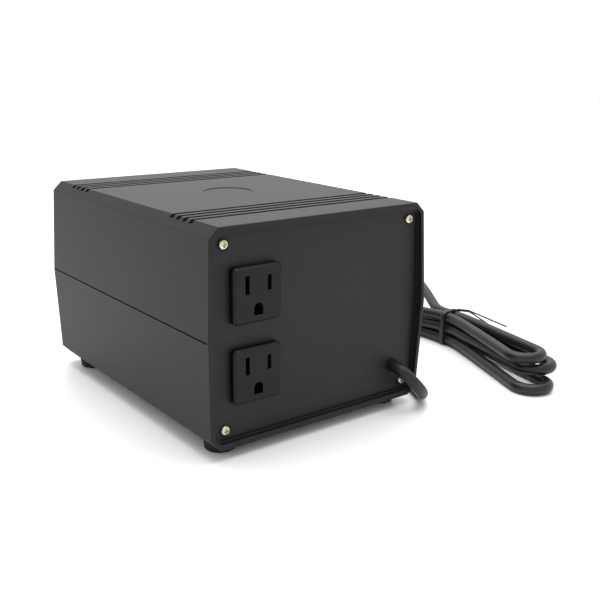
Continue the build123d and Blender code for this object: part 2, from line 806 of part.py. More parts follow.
def outlet_cover(slot_z):
    rear_y = -panel_front_y + outlet_body_depth
    centre = Pos(-outlet_x, slot_z - face_drop)
    sketch = centre * rounded(outlet_body_width, outlet_body_height, outlet_body_corner)
    cover = along_y(sketch, (rear_y, rear_y + outlet_cover_thickness))
    for _, x, z, _ in contact_places():
        hole = Pos(x - outlet_x, z + slot_z) * Rectangle(tab_stock + fit_gap * 2, tab_width + fit_gap * 2)
        cover -= along_y(hole, (rear_y - cut_over, rear_y + outlet_cover_thickness + cut_over))
    return cover


def outlet_contacts(slot_z):
    front_y = -panel_front_y + outlet_front_wall + chamber_play
    return {name: contact(x - outlet_x, z + slot_z, gap, front_y) for name, x, z, gap in contact_places()}


# Straight runs joined by arcs as large as the two runs beside each point allow
def route_radii(points):
    places = [Vector(*p) for p in points]
    radii = []
    for a, b, c in zip(places, places[1:], places[2:]):
        turn = radians((b - a).get_angle(c - b))
        radii.append(run_share * min((b - a).length, (c - b).length) / tan(turn / 2))
    return radii


def tube(points, radius, name=""):
    radii = route_radii(points)
    path = FilletPolyline(*points, radius=radii)
    section = Plane(origin=path @ 0, z_dir=path % 0) * Circle(radius)
    solid = sweep(section, path=path)
    if name:
        expected = pi * radius ** 2 * path.length
        print(f"{name}: {path.length:.0f} mm, radii from {min(radii):.0f} mm,",
              f"volume {solid.volume / expected:.3f} of section times length")
    return solid


# Two tangent arcs between two points with given headings
def biarc(start, start_way, end, end_way):
    p0, t0, p1, t1 = (Vector(*v) for v in (start, start_way, end, end_way))
    v, t = p1 - p0, t0 + t1
    square = 2 * (1 - t0.dot(t1))
    if square < parallel_limit:
        reach = v.dot(v) / (2 * v.dot(t))
    else:
        reach = (sqrt(v.dot(t) ** 2 + square * v.dot(v)) - v.dot(t)) / square
    middle = (p0 + t0 * reach + p1 - t1 * reach) * 0.5
    way = (p1 - t1 * reach) - (p0 + t0 * reach)
    first = joined(p0, t0, middle)
    second = joined(middle, way.normalized(), p1)
    return [first, second]


def joined(start, way, end):
    across = way.cross(end - start).length
    if across < parallel_limit ** 0.5:
        return Line(start, end)
    return TangentArc(start, end, tangent=way)


def strand_x(near):
    half = (cord_diameter + strand_gap) / 2
    return hank_x - half if near else hank_x + half


def layer_z(layer):
    return cord_radius + layer * (cord_diameter + strand_gap)


# Out from the waist, round the fold and back, the two sides of a fold spreading like a drop
def fold_edges(start, way, x, y, z, radius, end):
    side = -1 if way[1] < 0 else 1
    lean_in = turn_lean_share * atan2(side * (x + side * radius - start[0]), abs(y - start[1]))
    lean_out = turn_lean_share * atan2(side * (end[0] - x + side * radius), abs(y - end[1]))
    first = (pi if side < 0 else 0.0) - lean_in
    angles = [first, first + (pi + lean_in + lean_out) / 2, first + pi + lean_in + lean_out]
    places = [Vector(x + radius * cos(a), y + radius * sin(a), z) for a in angles]
    ways = [Vector(-sin(a), cos(a), 0) for a in angles]
    edges = biarc(start, way, tuple(places[0]), tuple(ways[0]))
    edges += [joined(*leg) for leg in zip(places, ways, places[1:])]
    return edges + biarc(tuple(places[-1]), tuple(ways[-1]), end, (0, -way[1], 0))


def hank_edges():
    down, up = (0, -1, 0), (0, 1, 0)
    top_y, low_y = tie_y + waist_half_length, tie_y - waist_half_length
    near_x, far_x = strand_x(True), strand_x(False)
    edges = []
    for turn, (x, y, radius) in enumerate(near_turns):
        z, waist_z = layer_z(turn), layer_z(turn) + waist_lift
        edges.append(Line((near_x, top_y, waist_z), (near_x, low_y, waist_z)))
        edges += fold_edges((near_x, low_y, waist_z), down, x, y, z, radius, (far_x, low_y, waist_z))
        end_y = top_y if turn < len(far_turns) else tail_route[0][1]
        edges.append(Line((far_x, low_y, waist_z), (far_x, end_y, waist_z)))
        if turn < len(far_turns):
            x, y, radius = far_turns[turn]
            next_z = layer_z(turn + 1) + waist_lift
            edges += fold_edges((far_x, top_y, waist_z), up, x, y, z, radius, (near_x, top_y, next_z))
    return edges


# Least gap between stretches of the hank that are well apart along the cord
def least_gap(edges, steps=16):
    points = []
    run = 0.0
    for edge in edges:
        points += [(run + edge.length * i / steps, edge @ (i / steps)) for i in range(steps)]
        run += edge.length
    apart = cord_diameter * 3
    return min((p - q).length for i, (s, p) in enumerate(points) for r, q in points[i + 1:]
               if r - s > apart) - cord_diameter


def cord_hank():
    edges = hank_edges()
    path = Wire(edges)
    section = Plane(origin=path @ 0, z_dir=path % 0) * Circle(cord_radius)
    hank = Pos(side_shift, -end_shift) * sweep(section, path=path)
    print(f"cord_hank: {path.length:.0f} mm, least gap {least_gap(edges):.2f} mm,",
          f"volume {hank.volume / (pi * cord_radius ** 2 * path.length):.3f} of section times length")
    return hank


# Straight cord from the panel's front face to the clamp behind it
def cord_entry():
    return rod((cord_x, -panel_front_y, base_z + cord_z), Y_DIR, cord_radius, cord_inside)


def cord_bushing():
    start = (cord_x, -panel_front_y, base_z + cord_z)
    bushing = rod(start, Y_DIR, cord_radius + bushing_wall, bushing_length)
    collar_y = -panel_back_y
    bushing += rod((cord_x, collar_y, base_z + cord_z), Y_DIR, cord_radius + bushing_wall + bushing_collar,
                   bushing_collar)
    return bushing - rod(start, Y_DIR, cord_radius + bushing_play, bushing_length)


def clamp_y():
    return -panel_front_y + cord_inside - clamp_setback


def clamp_post_places():
    return [(cord_x + side * clamp_ear, clamp_y()) for side in (-1, 1)]


def clamp_seat_z():
    return base_z + cord_z


def cord_clamp():
    y_range = (clamp_y() - clamp_length / 2, clamp_y() + clamp_length / 2)
    reach = clamp_ear + clamp_post_radius
    seat = clamp_seat_z()
    clamp = block((cord_x - reach, cord_x + reach), y_range, (seat, seat + clamp_thickness))
    start = (cord_x, y_range[0], seat)
    clamp += rod(start, Y_DIR, cord_radius + soft_gap + clamp_thickness, clamp_length)
    clamp -= rod(start, Y_DIR, cord_radius + soft_gap, clamp_length)
    below = (seat - clamp_thickness * 2 - cord_radius, seat)
    clamp -= block((cord_x - reach, cord_x + reach), y_range, below)
    for x, y in clamp_post_places():
        clamp -= rod((x, y, seat), Z_DIR, small_screw_radius + fit_gap, clamp_thickness)
    return clamp


def clamp_screws():
    return [small_screw((x, y, clamp_seat_z() + clamp_thickness), Z_DIR) for x, y in clamp_post_places()]


def small_screw(seat, out, length=None):
    return screw(seat, out, small_screw_radius, length or small_screw_length, small_head_radius, small_head_height)


def rubber_feet():
    feet = []
    for x, y in corner_places(foot_x, foot_y):
        foot = cone((x, y, 0), Z_DIR, foot_bottom_radius, foot_radius, foot_height + foot_seat_depth)
        foot = fillet(foot.edges().group_by(Axis.Z)[0], foot_edge)
        foot -= rod((x, y, -cut_over), Z_DIR, foot_recess_radius, foot_recess_depth + cut_over)
        foot -= rod((x, y, 0), Z_DIR, small_screw_radius + fit_gap, foot_height * 2)
        feet.append(foot)
    return feet


def foot_screws():
    down = (0, 0, -1)
    return [small_screw((x, y, foot_recess_depth), down, foot_screw_length)
            for x, y in corner_places(foot_x, foot_y)]


def shell_screws():
    down = (0, 0, -1)
    return [
        screw((x, y, shell_screw_seat_z()), down, shell_screw_radius, shell_screw_length, shell_screw_head_radius,
              shell_screw_head_height)
        for x, y in corner_places(post_x, post_y)
    ]


# Transformer: the core's bottom stands on the bracket feet's level
core_bottom_z = inner_floor_z + core_lift
core_height = core_window + core_leg * 2
stack_y = core_stack / 2


def core_holes(x_values, z_values, y_range):
    y0, y1 = y_range
    return [rod((x, y0, core_bottom_z + z), Y_DIR, core_hole_radius, y1 - y0) for x in x_values for z in z_values]


bolt_x_values = (core_leg / 2 - core_width / 2, core_width / 2 - core_leg / 2)
bolt_z_values = (core_leg / 2, core_height - core_leg / 2)


def core_e():
    half, z = core_width / 2, core_bottom_z
    core = block((-half, half), (-stack_y, stack_y), (z, z + core_height - core_leg))
    for side in (-1, 1):
        window_x = (side * core_middle, side * (core_middle + core_window_width))
        core -= block(window_x, (-width, width), (z + core_leg, z + core_height))
    for hole in core_holes(bolt_x_values, bolt_z_values[:1], (-stack_y, stack_y)):
        core -= hole
    return core


def core_i():
    half, z = core_width / 2, core_bottom_z + core_height - core_leg
    core = block((-half, half), (-stack_y, stack_y), (z, z + core_leg))
    for hole in core_holes(bolt_x_values, bolt_z_values[1:], (-stack_y, stack_y)):
        core -= hole
    return core


# Rounded frame round the centre leg, given its distance from the leg and its own thickness
def leg_ring(inner, build, z_range):
    outer_x, outer_y = core_middle + inner + build, stack_y + inner + build
    outside = rounded(outer_x * 2, outer_y * 2, ring_corner + build)
    inside = rounded((core_middle + inner) * 2, (stack_y + inner) * 2, ring_corner)
    return along_z(outside, z_range) - along_z(inside, z_range)


window_z = (core_bottom_z + core_leg, core_bottom_z + core_leg + core_window)


def bobbin():
    low, high = window_z[0] + bobbin_play, window_z[1] - bobbin_play
    piece = leg_ring(bobbin_play, bobbin_wall, (low, high))
    flange_x = core_middle + core_window_width - bobbin_play
    flange_y = stack_y + bobbin_overhang
    for z in (low, high - bobbin_flange):
        flange = rounded(flange_x * 2, flange_y * 2, ring_corner)
        hole = rounded((core_middle + bobbin_play) * 2, (stack_y + bobbin_play) * 2, ring_corner)
        piece += along_z(flange, (z, z + bobbin_flange)) - along_z(hole, (z, z + bobbin_flange))
    return piece


# The layers round the bobbin, from the inside out
def windings():
    inset = bobbin_play + bobbin_flange + winding_end_play
    z_range = (window_z[0] + inset, window_z[1] - inset)
    inner = bobbin_play + bobbin_wall + winding_gap
    layers = {}
    for name, build in (("winding_common", common_build), ("winding_insulation", interlayer_build),
                        ("winding_series", series_build), ("winding_wrap", wrap_build)):
        layers[name] = leg_ring(inner, build, z_range)
        inner += build + winding_gap
    return layers, inner


def core_brackets():
    half, z = core_width / 2, core_bottom_z
    brackets = []
    for side in (-1, 1):
        face = side * stack_y
        wall_y = (face, face + side * bracket_stock)
        foot_y_range = (face, face + side * bracket_foot)
        piece = block((-half, half), wall_y, (z, z + bracket_rise))
        piece += block((-half, half), foot_y_range, (z, z + bracket_stock))
        for hole in core_holes(bolt_x_values, bolt_z_values[:1], (-width, width)):
            piece -= hole
        for x in (-mount_screw_x, mount_screw_x):
            piece -= rod((x, side * mount_screw_y(), z - cut_over), Z_DIR, small_screw_radius + fit_gap,
                         bracket_stock + cut_over * 2)
        brackets.append(piece)
    return brackets


def mount_screw_y():
    return core_stack / 2 + (bracket_foot + bracket_stock) / 2


def mount_screws():
    seat_z = core_bottom_z + bracket_stock
    length = core_lift + bracket_stock
    return [small_screw((x, y, seat_z), Z_DIR, length) for x, y in corner_places(mount_screw_x, mount_screw_y())]


# The lug is held under the head of the upper bolt on the +X side
def core_bolts():
    bolts, nuts = [], []
    for x in bolt_x_values:
        for z, bracket in zip(bolt_z_values, (bracket_stock, 0.0)):
            seat_y = stack_y + bracket
            head_y = -seat_y - (tab_stock if (x, z) == (bolt_x_values[1], bolt_z_values[1]) else 0.0)
            place = core_bottom_z + z
            shank = seat_y - head_y + nut_height + bolt_overhang
            bolt = rod((x, head_y, place), Y_DIR, bolt_radius, shank)
            bolt += hexagon((x, head_y - bolt_head_height, place), bolt_head_height)
            bolts.append(bolt)
            nut = hexagon((x, seat_y, place), nut_height)
            nuts.append(nut - rod((x, seat_y, place), Y_DIR, bolt_radius + fit_gap, nut_height))
    return bolts, nuts


def hexagon(start, height):
    x, y, z = start
    sketch = Pos(x, z) * RegularPolygon(bolt_head_radius, hexagon_sides)
    return along_y(sketch, (y, y + height))


# A cut-out strapped to the coil's rear face
def thermal_cutout(coil_inset):
    face_y = stack_y + coil_inset
    mid_z = (window_z[0] + window_z[1]) / 2
    body = block((-cutout_width / 2, cutout_width / 2), (face_y, face_y + cutout_depth),
                 (mid_z - cutout_height / 2, mid_z + cutout_height / 2))
    return fillet(body.edges().filter_by(Axis.Z), edge_radius)


# Rocker switch, let into the switch panel from the front
def switch_centre():
    return switch_x, base_z + control_z


def switch_well():
    return switch_body_width - switch_wall * 2, switch_body_height - switch_wall * 2


def pivot_y():
    return panel_front_y + switch_flange_thickness - rocker_pivot_depth


def switch_tab_places():
    x, z = switch_centre()
    return [(x + sx * switch_tab_x, z + sz * switch_tab_z) for sz in (-1, 1) for sx in (-1, 1)]


def switch_frame():
    x, z = switch_centre()
    front = panel_front_y + switch_flange_thickness
    rear = panel_front_y - switch_body_depth
    flange = Pos(x, z) * rounded(switch_flange_width, switch_flange_height, edge_radius * 2)
    frame = along_y(flange, (panel_front_y, front))
    body = Pos(x, z) * Rectangle(switch_body_width, switch_body_height)
    frame += along_y(body, (rear, panel_front_y))
    well_width, well_height = switch_well()
    frame -= along_y(Pos(x, z) * Rectangle(well_width, well_height), (front - switch_well_depth, front + cut_over))
    for side in (-1, 1):
        pin_x = x + side * (well_width / 2 - cut_over)
        depth_in = cut_over + rocker_pin_length - rocker_side_play + fit_gap
        frame -= rod((pin_x, pivot_y(), z), (side, 0, 0), rocker_pin_radius + running_clearance, depth_in)
    for tab_x, tab_z in switch_tab_places():
        frame -= tab_block(tab_x, tab_z, (rear - cut_over, rear + tab_root + fit_gap), fit_gap / 2)
    return frame


def tab_block(x, z, y_range, play=0.0):
    half_x, half_z = tab_stock / 2 + play, tab_width / 2 + play
    return block((x - half_x, x + half_x), y_range, (z - half_z, z + half_z))


def power_rocker():
    x, z = switch_centre()
    half = rocker_half_height
    outline = [
        (-rocker_root, -rocker_root_half_height), (-rocker_skirt, -half), (rocker_end_rise, -half),
        (rocker_middle_rise, 0), (rocker_end_rise, half), (-rocker_skirt, half),
        (-rocker_root, rocker_root_half_height),
    ]
    reach = switch_well()[0] / 2 - rocker_side_play
    rocker = along_x(filled(outline), (-reach, reach))
    rocker = fillet(rocker.edges().filter_by(Axis.X).group_by(Axis.Y)[-1], edge_radius)
    pin_reach = reach + rocker_pin_length
    rocker += rod((-pin_reach, 0, 0), X_DIR, rocker_pin_radius, pin_reach * 2)
    return Pos(x, pivot_y(), z) * Rot(rocker_throw / 2, 0, 0) * rocker


def switch_tabs():
    rear = panel_front_y - switch_body_depth
    return [tab_block(x, z, (rear - tab_length, rear + tab_root)) for x, z in switch_tab_places()]


# Thermal breaker with a push-to-reset button in a threaded neck
def breaker_tab_places():
    z = base_z + control_z
    return [(breaker_x, z + side * breaker_tab_z) for side in (-1, 1)]


def breaker_body():
    z = base_z + control_z
    rear = panel_back_y - breaker_depth
    x_range = (breaker_x - breaker_width / 2, breaker_x + breaker_width / 2)
    body = block(x_range, (rear, panel_back_y), (z - breaker_height / 2, z + breaker_height / 2))
    neck_end = panel_front_y + breaker_neck_rise
    body += rod((breaker_x, panel_back_y, z), Y_DIR, breaker_neck_radius, neck_end - panel_back_y)
    bore_start = neck_end + button_rise - button_stem_length - fit_gap
    body -= rod((breaker_x, bore_start, z), Y_DIR, button_radius + running_clearance, button_stem_length + cut_over)
    for tab_x, tab_z in breaker_tab_places():
        body -= tab_block(tab_x, tab_z, (rear - cut_over, rear + tab_root + fit_gap), fit_gap / 2)
    return body


def reset_button():
    end = panel_front_y + breaker_neck_rise + button_rise
    z = base_z + control_z
    button = rod((breaker_x, end - button_stem_length, z), Y_DIR, button_radius, button_stem_length)
    return fillet(button.edges().group_by(Axis.Y)[-1], edge_radius)


def breaker_nut():
    z = base_z + control_z
    sketch = Pos(breaker_x, z) * (RegularPolygon(breaker_nut_radius, hexagon_sides) - Circle(breaker_neck_radius + fit_gap))
    return along_y(sketch, (panel_front_y, panel_front_y + breaker_nut_height))


def breaker_tabs():
    rear = panel_back_y - breaker_depth
    return [tab_block(x, z, (rear - tab_length, rear + tab_root)) for x, z in breaker_tab_places()]


# Lamp: a coloured lens pushed through the panel, a spring ring behind it and a glass tube inside
def lamp_start():
    return -lamp_x, panel_front_y, base_z + control_z


def lamp_lens():
    x, y, z = lamp_start()
    lens = rod((x, y, z), Y_DIR, lamp_flange_radius, lamp_flange_thickness)
    lens += cone((x, y + lamp_flange_thickness, z), Y_DIR, lamp_radius, lamp_radius - lens_wall,
                 lamp_dome_rise - lamp_flange_thickness)
    lens += rod((x, y, z), (0, -1, 0), lamp_radius, lamp_body_length)
    hollow = lamp_radius - lens_wall
    lens -= rod((x, y - lamp_body_length - cut_over, z), Y_DIR, hollow, lamp_body_length + cut_over)
    return lens


def lamp_bulb():
    x, y, z = lamp_start()
    bulb = rod((x, y - lamp_body_length, z), Y_DIR, lamp_radius - lens_wall * 2, lamp_body_length - lens_wall)
    return fillet(bulb.edges().group_by(Axis.Y)[-1], lens_wall)


def lamp_clip():
    x, _, z = lamp_start()
    sketch = Pos(x, z) * (Circle(lamp_flange_radius + lens_wall) - Circle(lamp_radius + fit_gap / 2))
    return along_y(sketch, (panel_back_y - lamp_flange_thickness, panel_back_y))


# Terminal block on two posts, with a clamping sleeve and two screws to each pole
block_bottom_z = inner_floor_z + block_post_height
block_axis_z = block_bottom_z + block_height / 2


def pole_x_values():
    return [block_x + (i - (block_poles - 1) / 2) * block_pole_pitch for i in range(block_poles)]


def block_post_places():
    reach = block_poles * block_pole_pitch / 2 + block_end / 2
    return [(block_x + side * reach, block_y) for side in (-1, 1)]


def pole_screw_places():
    return [(x, block_y + side * block_width / 4) for x in pole_x_values() for side in (-1, 1)]


def terminal_block():
    reach = block_poles * block_pole_pitch / 2 + block_end
    y_range = (block_y - block_width / 2, block_y + block_width / 2)
    top = block_bottom_z + block_height
    piece = block((block_x - reach, block_x + reach), y_range, (block_bottom_z, top))
    for x in pole_x_values():
        piece -= rod((x, y_range[0] - cut_over, block_axis_z), Y_DIR, sleeve_radius + fit_gap,
                     block_width + cut_over * 2)
    for x, y in pole_screw_places():
        piece -= rod((x, y, block_axis_z), Z_DIR, block_screw_radius + fit_gap * 2, block_height)
    for x, y in block_post_places():
        piece -= rod((x, y, block_bottom_z - cut_over), Z_DIR, small_screw_radius + fit_gap, block_height * 2)
        end_cut_z = (block_bottom_z + block_ear, top + cut_over)
        side = 1 if x > block_x else -1
        inner_x = block_x + side * (reach - block_end)
        piece -= block((inner_x, x + side * block_end), (y_range[0] - cut_over, y_range[1] + cut_over), end_cut_z)
    return piece


def terminal_sleeves():
    sleeves = []
    for x in pole_x_values():
        start = (x, block_y - sleeve_length / 2, block_axis_z)
        sleeve = rod(start, Y_DIR, sleeve_radius, sleeve_length) - rod(start, Y_DIR, block_bore_radius, sleeve_length)
        for screw_x, y in pole_screw_places():
            if screw_x == x:
                sleeve -= rod((x, y, block_axis_z), Z_DIR, block_screw_radius + fit_gap / 2, block_height)
        sleeves.append(sleeve)
    return sleeves


def terminal_screws():
    screws = []
    top = block_bottom_z + block_height - terminal_screw_sink
    bottom = block_axis_z + wire_radius + fit_gap
    for x, y in pole_screw_places():
        piece = rod((x, y, bottom), Z_DIR, block_screw_radius, top - bottom)
        slot = (top - terminal_slot_depth, top + cut_over)
        piece -= block((x - block_bore_radius, x + block_bore_radius),
                       (y - tab_stock / 2, y + tab_stock / 2), slot)
        screws.append(piece)
    return screws


def block_screws():
    return [small_screw((x, y, block_bottom_z + block_ear), Z_DIR) for x, y in block_post_places()]


# Push-on crimps over the tabs; the wires butt on their far ends
def crimps():
    places = [(x, z, panel_front_y - switch_body_depth - tab_length, 1) for x, z in switch_tab_places()]
    places += [(x, z, panel_back_y - breaker_depth - tab_length, 1) for x, z in breaker_tab_places()]
    rear = -panel_front_y + outlet_body_depth + outlet_cover_thickness + tab_length
    for slot_z in outlet_slot_centres():
        places += [(x - outlet_x, z + slot_z, rear, -1) for _, x, z, _ in contact_places()]
    sleeves = []
    for x, z, tip_y, way in places:
        half_x, half_z = tab_stock / 2 + crimp_wall, tab_width / 2 + crimp_wall
        y_range = (tip_y - way * crimp_neck, tip_y + way * (tab_length - fit_gap * 2))
        sleeve = block((x - half_x, x + half_x), y_range, (z - half_z, z + half_z))
        sleeve = fillet(sleeve.edges().filter_by(Axis.Y), edge_radius)
        sleeve -= tab_block(x, z, (tip_y - way * fit_gap, tip_y + way * tab_length), fit_gap)
        sleeves.append(sleeve)
    return sleeves


# How far across the piece at a wire's end stands from where it was drawn
end_shifts = {
    "cord": side_shift, "lug": side_shift, "switch": side_shift, "coil_right": side_shift,
    "breaker": 0.0, "block": 0.0, "outlet": -side_shift, "lamp": -side_shift, "coil_left": -side_shift,
}


# A wire's points move with the pieces at its ends. Outside the windings they move out with the sides.
def wire_path(start, end, points):
    drawn_leg_x, drawn_core_y = drawn_width / 2 - core_side - core_leg, drawn_depth / 2 - core_end
    first, last = end_shifts[start], end_shifts[end]
    moved = []
    for i, (x, y, z) in enumerate(points):
        share = min(max((i - 1) / (len(points) - 3), 0.0), 1.0) if len(points) > 4 else float(i > 1)
        dx = first + (last - first) * share
        if abs(x) > drawn_leg_x:
            dx = side_shift if x > 0 else -side_shift
        dy = end_shift * min(max(y / drawn_core_y, -1.0), 1.0)
        moved.append((x + dx, y + dy, z))
    return moved


def wires(name):
    return [tube(wire_path(*route), wire_radius) for route in wire_routes[name]]


# The lead and its hank lie beside the case and move with the outlet panel's corner
def beside_case(points):
    return [(x + side_shift, y - end_shift, *rest) for x, y, *rest in points]


def earth_lug():
    x, z = bolt_x_values[1], core_bottom_z + bolt_z_values[1]
    plate_y = (-stack_y - tab_stock, -stack_y)
    x_range = (x - tab_width / 2, x + tab_width / 2)
    lug = along_y(Pos(x, z) * Circle(bolt_head_radius), plate_y)
    lug += block(x_range, plate_y, (z - lug_length, z))
    lug += block(x_range, (-stack_y - lug_barrel_thickness, -stack_y), (lug_wire_z, lug_wire_z + lug_barrel))
    return lug - rod((x, -width, z), Y_DIR, bolt_radius + fit_gap, width)


def tie_and_ends():
    ring = []
    for play in (tie_play, tie_play + tie_thickness):
        circles = Sketch()
        for x, z in tie_strands():
            circles += Pos(x, z) * Circle(cord_radius + play)
        ring.append(make_hull(circles.edges()))
    band = along_y(ring[1] - ring[0], (tie_y - tie_width / 2, tie_y + tie_width / 2))
    x, z = tie_strands()[-1]
    out = (cord_radius + tie_play + tie_twist_radius) / sqrt(2)
    out_x, out_z = x + out, z + out
    band += rod((out_x, tie_y, out_z), tie_twist_way, tie_twist_radius, tie_twist_length)
    tip = Vector(out_x, tie_y, out_z) + Vector(*tie_twist_way).normalized() * (tie_twist_length - tie_end_radius)
    for way in tie_end_ways:
        band += rod(tuple(tip), way, tie_end_radius, tie_end_length)
    return Pos(side_shift, -end_shift) * band


def tie_strands():
    strands = [(strand_x(near), layer_z(layer) + waist_lift) for layer in range(len(near_turns))
               for near in (True, False)]
    return strands


# Plug at the end of the lead, along the lead's last run
def plug_frame():
    end, before = (Vector(*place) for place in beside_case(tail_route)[:-3:-1])
    return Plane(origin=end, x_dir=(end - before).cross(Vector(*Z_DIR)), z_dir=end - before)


def plug_body():
    frame = plug_frame()
    grip_start = relief_length
    shoulder_start = grip_start + plug_grip_length
    face_start = shoulder_start + plug_shoulder
    low = (Align.CENTER, Align.CENTER, Align.MIN)
    body = Cone(relief_tip_radius, relief_radius, relief_length, align=low)
    body += Pos(0, 0, grip_start) * Cone(plug_grip_radius * grip_start_share, plug_grip_radius, plug_grip_length,
                                         align=low)
    body += Pos(0, 0, shoulder_start) * Cone(plug_grip_radius, plug_radius, plug_shoulder, align=low)
    body += Pos(0, 0, face_start) * Cylinder(plug_radius, plug_face_depth, align=low)
    body = body & Box(plug_radius * 3, plug_flat * 2, plug_radius * 20)
    end = face_start + plug_face_depth
    for side in (-1, 1):
        hole = Cylinder(pin_root_radius + fit_gap / 2, pin_root + cut_over, align=low)
        body -= Pos(side * pin_spacing / 2, 0, end - pin_root) * hole
    hole = Cylinder(earth_hole_radius, earth_hole_depth + cut_over, align=low)
    body -= Pos(0, earth_hole_offset, end - earth_hole_depth) * hole
    for side in (-1, 1):
        y = side * (plug_flat - earth_clip_stock / 2)
        slot = Box(earth_clip_width + fit_gap, earth_clip_stock + fit_gap, earth_clip_length + fit_gap,
                   align=(Align.CENTER, Align.CENTER, Align.MAX))
        body -= Pos(0, y, end) * slot
    return frame * body


def plug_length():
    return relief_length + plug_grip_length + plug_shoulder + plug_face_depth


def plug_pins():
    frame, low = plug_frame(), (Align.CENTER, Align.CENTER, Align.MIN)
    pins = []
    for side in (-1, 1):
        pin = Pos(0, 0, pin_neck) * Cylinder(pin_radius, pin_length - pin_neck, align=low)
        pin = fillet(pin.edges().group_by(Axis.Z)[-1], pin_tip)
        pin += Pos(0, 0, -pin_root) * Cylinder(pin_root_radius, pin_root + pin_neck, align=low)
        pins.append(frame * Pos(side * pin_spacing / 2, 0, plug_length()) * pin)
    return pins


def plug_earth_clips():
    frame = plug_frame()
    clips = []
    for side in (-1, 1):
        clip = Box(earth_clip_width, earth_clip_stock, earth_clip_length, align=(Align.CENTER, Align.CENTER, Align.MAX))
        clips.append(frame * Pos(0, side * (plug_flat - earth_clip_stock / 2), plug_length()) * clip)
    return clips


def save(name, shape):
    solids = shape if isinstance(shape, list) else [shape]
    solids = [solid for piece in solids for solid in piece.solids()]
    export_step(Compound(solids) if len(solids) > 1 else solids[0], f"parts/{name}.step")


def all_parts():
    layers, coil_inset = windings()
    bolts, nuts = core_bolts()
    parts = {
        "upper_shell": upper_shell(),
        "lower_shell": lower_shell(),
        "outlet_panel": outlet_panel(),
        "switch_panel": switch_panel(),
        "panel_screws": panel_screws(-1) + panel_screws(1),
        "shell_screws": shell_screws(),
        "rubber_feet": rubber_feet(),
        "short_screws": foot_screws() + mount_screws(),
        "cord_entry": cord_entry(),
        "cord_bushing": cord_bushing(),
        "cord_clamp": cord_clamp(),
        "clamp_screws": clamp_screws() + block_screws(),
        "core_e": core_e(),
        "core_i": core_i(),
        "bobbin": bobbin(),
        "core_brackets": core_brackets(),
        "core_bolts": bolts,
        "core_nuts": nuts,
        "thermal_cutout": thermal_cutout(coil_inset),
        "earth_lug": earth_lug(),
        "switch_frame": switch_frame(),
        "power_rocker": power_rocker(),
        "spade_tabs": switch_tabs() + breaker_tabs(),
        "breaker_body": breaker_body(),
        "reset_button": reset_button(),
        "breaker_nut": breaker_nut(),
        "lamp_lens": lamp_lens(),
        "lamp_bulb": lamp_bulb(),
        "lamp_clip": lamp_clip(),
        "terminal_block": terminal_block(),
        "terminal_sleeves": terminal_sleeves(),
        "terminal_screws": terminal_screws(),
        "crimps": crimps(),
        "cord_lead": tube(beside_case(lead_route), cord_radius, "cord_lead"),
        "cord_hank": cord_hank(),
        "hank_tie": tie_and_ends(),
        "cord_tail": tube(beside_case(tail_route), cord_radius, "cord_tail"),
        "plug_body": plug_body(),
        "plug_pins": plug_pins(),
        "plug_earth_clips": plug_earth_clips(),
    }
    parts["winding_tape"] = [layers.pop("winding_insulation"), layers.pop("winding_wrap")]
    parts.update(layers)
    for place, slot_z in zip(("upper", "lower"), outlet_slot_centres()):
        parts[f"outlet_body_{place}"] = outlet_body(slot_z)
        parts[f"outlet_cover_{place}"] = outlet_cover(slot_z)
        for name, piece in outlet_contacts(slot_z).items():
            parts[f"{name}_{place}"] = piece
    for name in wire_routes:
        parts[name] = wires(name)
    return parts


os.makedirs("parts", exist_ok=True)
for node, shape in all_parts().items():
    save(node, shape)
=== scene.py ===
import math

import bpy
from mathutils import Matrix, Vector


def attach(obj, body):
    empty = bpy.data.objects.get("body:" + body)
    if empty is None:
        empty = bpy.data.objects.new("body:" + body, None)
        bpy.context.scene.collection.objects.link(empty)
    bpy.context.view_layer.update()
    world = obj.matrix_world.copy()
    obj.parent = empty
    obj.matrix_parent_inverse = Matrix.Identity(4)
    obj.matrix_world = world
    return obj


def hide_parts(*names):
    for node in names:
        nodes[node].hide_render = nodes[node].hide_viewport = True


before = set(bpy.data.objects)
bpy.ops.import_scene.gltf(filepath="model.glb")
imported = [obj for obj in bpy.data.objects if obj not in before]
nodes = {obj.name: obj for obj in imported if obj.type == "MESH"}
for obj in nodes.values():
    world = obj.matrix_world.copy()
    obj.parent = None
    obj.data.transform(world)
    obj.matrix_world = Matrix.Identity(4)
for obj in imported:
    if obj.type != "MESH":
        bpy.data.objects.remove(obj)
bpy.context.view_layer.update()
mm = 0.001
perMetre = 1000


# sRGB hex to the linear colour a shader wants
def linear(hexColour):
    parts = [int(hexColour[i:i + 2], 16) / 255 for i in (1, 3, 5)]
    return [p / 12.92 if p <= 0.04045 else ((p + 0.055) / 1.055) ** 2.4 for p in parts] + [1.0]


# Adds a node, sets what it is given by name, and links the sockets it is given
def addNode(tree, kind, settings=None, links=None):
    node = tree.nodes.new(kind)
    for name, value in (settings or {}).items():
        if name in node.inputs:
            node.inputs[name].default_value = value
        else:
            setattr(node, name, value)
    for name, source in (links or {}).items():
        tree.links.new(source, node.inputs[name])
    return node


# How far roughness swings with the grain or the streaks, and how deep each pattern is for its width
grainGloss, grainDepth = 0.05, 0.5
streakGloss, streakDepth = (0.08, 0.1), 0.2
layerDepth = 0.2
# At a scale of one, about this many light and dark bands of a wave texture fill a unit
bandsPerUnit = 6.283


def startFinish(name):
    material = bpy.data.materials.new(name)
    material.use_nodes = True
    tree = material.node_tree
    tree.nodes.clear()
    place = addNode(tree, "ShaderNodeTexCoord")
    return material, tree, place.outputs["Object"]


def endFinish(tree, shader):
    addNode(tree, "ShaderNodeOutputMaterial", links={"Surface": shader.outputs["BSDF"]})


